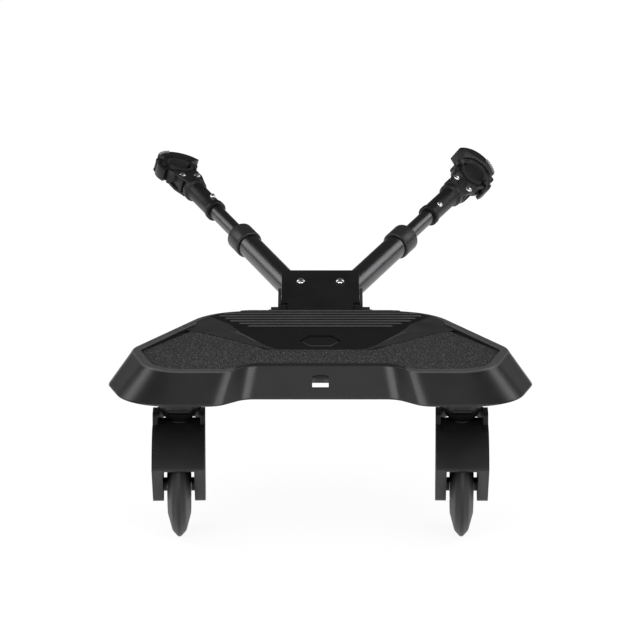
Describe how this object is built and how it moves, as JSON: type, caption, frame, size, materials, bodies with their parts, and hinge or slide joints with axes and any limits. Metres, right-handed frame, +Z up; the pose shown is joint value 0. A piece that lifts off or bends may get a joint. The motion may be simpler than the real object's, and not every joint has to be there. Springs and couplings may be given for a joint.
{
  "type": "buggy board",
  "caption": "Ride-on standing board for a pushchair: a deck on swivel casters, with a folding bracket and telescopic arms that end in lever clamps for the pushchair's frame.",
  "frame": {"origin": "on the floor, midway between the wheels and below their axle line as shown", "axes": "+Z up; +Y forward, from the deck towards the arms; +X to the right of a child standing on it"},
  "size_m": [0.405, 0.5838, 0.2714],
  "materials": {
    "deck_plastic": "moulded, fine satin grain",
    "grip_grit": "gritty anti-slip sheet",
    "moulded_plastic": "moulded, satin",
    "bracket_steel": "black powder coat",
    "tube_metal": "black anodised, semi-gloss",
    "rivet_steel": "bright zinc",
    "dark_steel": "blackened",
    "bearing_steel": "ground",
    "wheel_plastic": "moulded, satin",
    "tyre_rubber": "smooth moulded tyre",
    "pad_rubber": "soft liner",
    "bush_plastic": "plain bearing bush"
  },
  "bodies": {
    "deck": {"deck_shell": "deck_plastic", "grip_pad": "grip_grit", "hinge_base": "moulded_plastic", "hinge_bolts": "dark_steel", "hinge_pin": "dark_steel", "caster_screws": "dark_steel", "left_caster_socket": "moulded_plastic", "right_caster_socket": "moulded_plastic"},
    "cover": {"seat_socket_cover": "deck_plastic"},
    "bracket": {"bracket_plate": "bracket_steel", "bracket_channel": "bracket_steel", "pivot_rivets": "rivet_steel"},
    "left_arm": {"left_arm_knuckle": "moulded_plastic", "left_outer_tube": "tube_metal"},
    "left_collar": {"left_lock_collar": "moulded_plastic"},
    "left_guide": {"left_guide_bush": "bush_plastic"},
    "left_connector": {"left_inner_tube": "tube_metal", "left_connector_body": "moulded_plastic", "left_connector_rivets": "rivet_steel", "left_saddle": "moulded_plastic", "left_saddle_pad": "pad_rubber"},
    "left_button": {"left_release_button": "rivet_steel"},
    "left_jaw": {"left_clamp_jaw": "moulded_plastic", "left_jaw_pad": "pad_rubber", "left_jaw_pin": "dark_steel", "left_lever_pin": "dark_steel"},
    "left_lever": {"left_clamp_lever": "moulded_plastic"},
    "left_caster": {"left_fork": "moulded_plastic", "left_kingpin": "dark_steel", "left_axle": "dark_steel", "left_spacers": "dark_steel"},
    "left_wheel": {"left_wheel_core": "wheel_plastic", "left_tyre": "tyre_rubber", "left_bearings": "bearing_steel"},
    "right_arm": {"right_arm_knuckle": "moulded_plastic", "right_outer_tube": "tube_metal"},
    "right_collar": {"right_lock_collar": "moulded_plastic"},
    "right_guide": {"right_guide_bush": "bush_plastic"},
    "right_connector": {"right_inner_tube": "tube_metal", "right_connector_body": "moulded_plastic", "right_connector_rivets": "rivet_steel", "right_saddle": "moulded_plastic", "right_saddle_pad": "pad_rubber"},
    "right_button": {"right_release_button": "rivet_steel"},
    "right_jaw": {"right_clamp_jaw": "moulded_plastic", "right_jaw_pad": "pad_rubber", "right_jaw_pin": "dark_steel", "right_lever_pin": "dark_steel"},
    "right_lever": {"right_clamp_lever": "moulded_plastic"},
    "right_caster": {"right_fork": "moulded_plastic", "right_kingpin": "dark_steel", "right_axle": "dark_steel", "right_spacers": "dark_steel"},
    "right_wheel": {"right_wheel_core": "wheel_plastic", "right_tyre": "tyre_rubber", "right_bearings": "bearing_steel"}
  },
  "joints": [
    {"name": "cover_lift", "type": "slide", "parent": "deck", "child": "cover", "axis": [0, 0, 1], "range_m": [0, 0.03]},
    {"name": "fold", "type": "hinge", "parent": "deck", "child": "bracket", "pos_m": [0, 0.205, 0.1615], "axis": [1, 0, 0], "range_deg": [-38, 75]},
    {"name": "left_swing", "type": "hinge", "parent": "bracket", "child": "left_arm", "pos_m": [-0.02, 0.25879, 0.16584], "axis": [0, -0.309, 0.9511], "range_deg": [-12, 30]},
    {"name": "left_lock_turn", "type": "hinge", "parent": "left_arm", "child": "left_collar", "pos_m": [-0.02, 0.25879, 0.16584], "axis": [-0.471, 0.839, 0.2726], "range_deg": [0, 90]},
    {"name": "left_extend", "type": "slide", "parent": "left_arm", "child": "left_guide", "axis": [-0.471, 0.839, 0.2726], "range_m": [-0.0415, 0.0245]},
    {"name": "left_roll", "type": "hinge", "parent": "left_guide", "child": "left_connector", "pos_m": [-0.02, 0.25879, 0.16584], "axis": [-0.471, 0.839, 0.2726], "range_deg": [-90, 90]},
    {"name": "left_button_press", "type": "slide", "parent": "left_connector", "child": "left_button", "axis": [-0.2726, 0.1555, -0.9495], "range_m": [0, 0.0032], "stiffness_N_per_m": 600, "springref_m": -0.003},
    {"name": "left_jaw_open", "type": "hinge", "parent": "left_connector", "child": "left_jaw", "pos_m": [-0.1405, 0.5087, 0.24135], "axis": [-0.2726, 0.1555, -0.9495], "range_deg": [0, 90]},
    {"name": "left_lever_open", "type": "hinge", "parent": "left_jaw", "child": "left_lever", "pos_m": [-0.17705, 0.50445, 0.25115], "axis": [0.2726, -0.1555, 0.9495], "range_deg": [0, 110]},
    {"name": "left_swivel", "type": "hinge", "parent": "deck", "child": "left_caster", "pos_m": [-0.135, 0.026, 0.11], "axis": [0, 0, 1], "continuous": true},
    {"name": "left_wheel_spin", "type": "hinge", "parent": "left_caster", "child": "left_wheel", "pos_m": [-0.13432, 0.00001, 0.05], "axis": [0.9997, 0.0262, 0], "continuous": true},
    {"name": "right_swing", "type": "hinge", "parent": "bracket", "child": "right_arm", "pos_m": [0.02, 0.25879, 0.16584], "axis": [0, 0.309, -0.9511], "range_deg": [-12, 30]},
    {"name": "right_lock_turn", "type": "hinge", "parent": "right_arm", "child": "right_collar", "pos_m": [0.02, 0.25879, 0.16584], "axis": [0.506, 0.8203, 0.2665], "range_deg": [0, 90]},
    {"name": "right_extend", "type": "slide", "parent": "right_arm", "child": "right_guide", "axis": [0.506, 0.8203, 0.2665], "range_m": [-0.0345, 0.0315]},
    {"name": "right_roll", "type": "hinge", "parent": "right_guide", "child": "right_connector", "pos_m": [0.02, 0.25879, 0.16584], "axis": [0.506, 0.8203, 0.2665], "range_deg": [-90, 90]},
    {"name": "right_button_press", "type": "slide", "parent": "right_connector", "child": "right_button", "axis": [-0.4811, 0.5249, -0.7022], "range_m": [0, 0.0032], "stiffness_N_per_m": 600, "springref_m": -0.003},
    {"name": "right_jaw_open", "type": "hinge", "parent": "right_connector", "child": "right_jaw", "pos_m": [0.14916, 0.49245, 0.25202], "axis": [0.4811, -0.5249, 0.7022], "range_deg": [0, 90]},
    {"name": "right_lever_open", "type": "hinge", "parent": "right_jaw", "child": "right_lever", "pos_m": [0.18205, 0.49803, 0.23365], "axis": [-0.4811, 0.5249, -0.7022], "range_deg": [0, 110]},
    {"name": "right_swivel", "type": "hinge", "parent": "deck", "child": "right_caster", "pos_m": [0.135, 0.026, 0.11], "axis": [0, 0, 1], "continuous": true},
    {"name": "right_wheel_spin", "type": "hinge", "parent": "right_caster", "child": "right_wheel", "pos_m": [0.13432, 0.00001, 0.05], "axis": [0.9997, -0.0262, 0], "continuous": true}
  ]
}
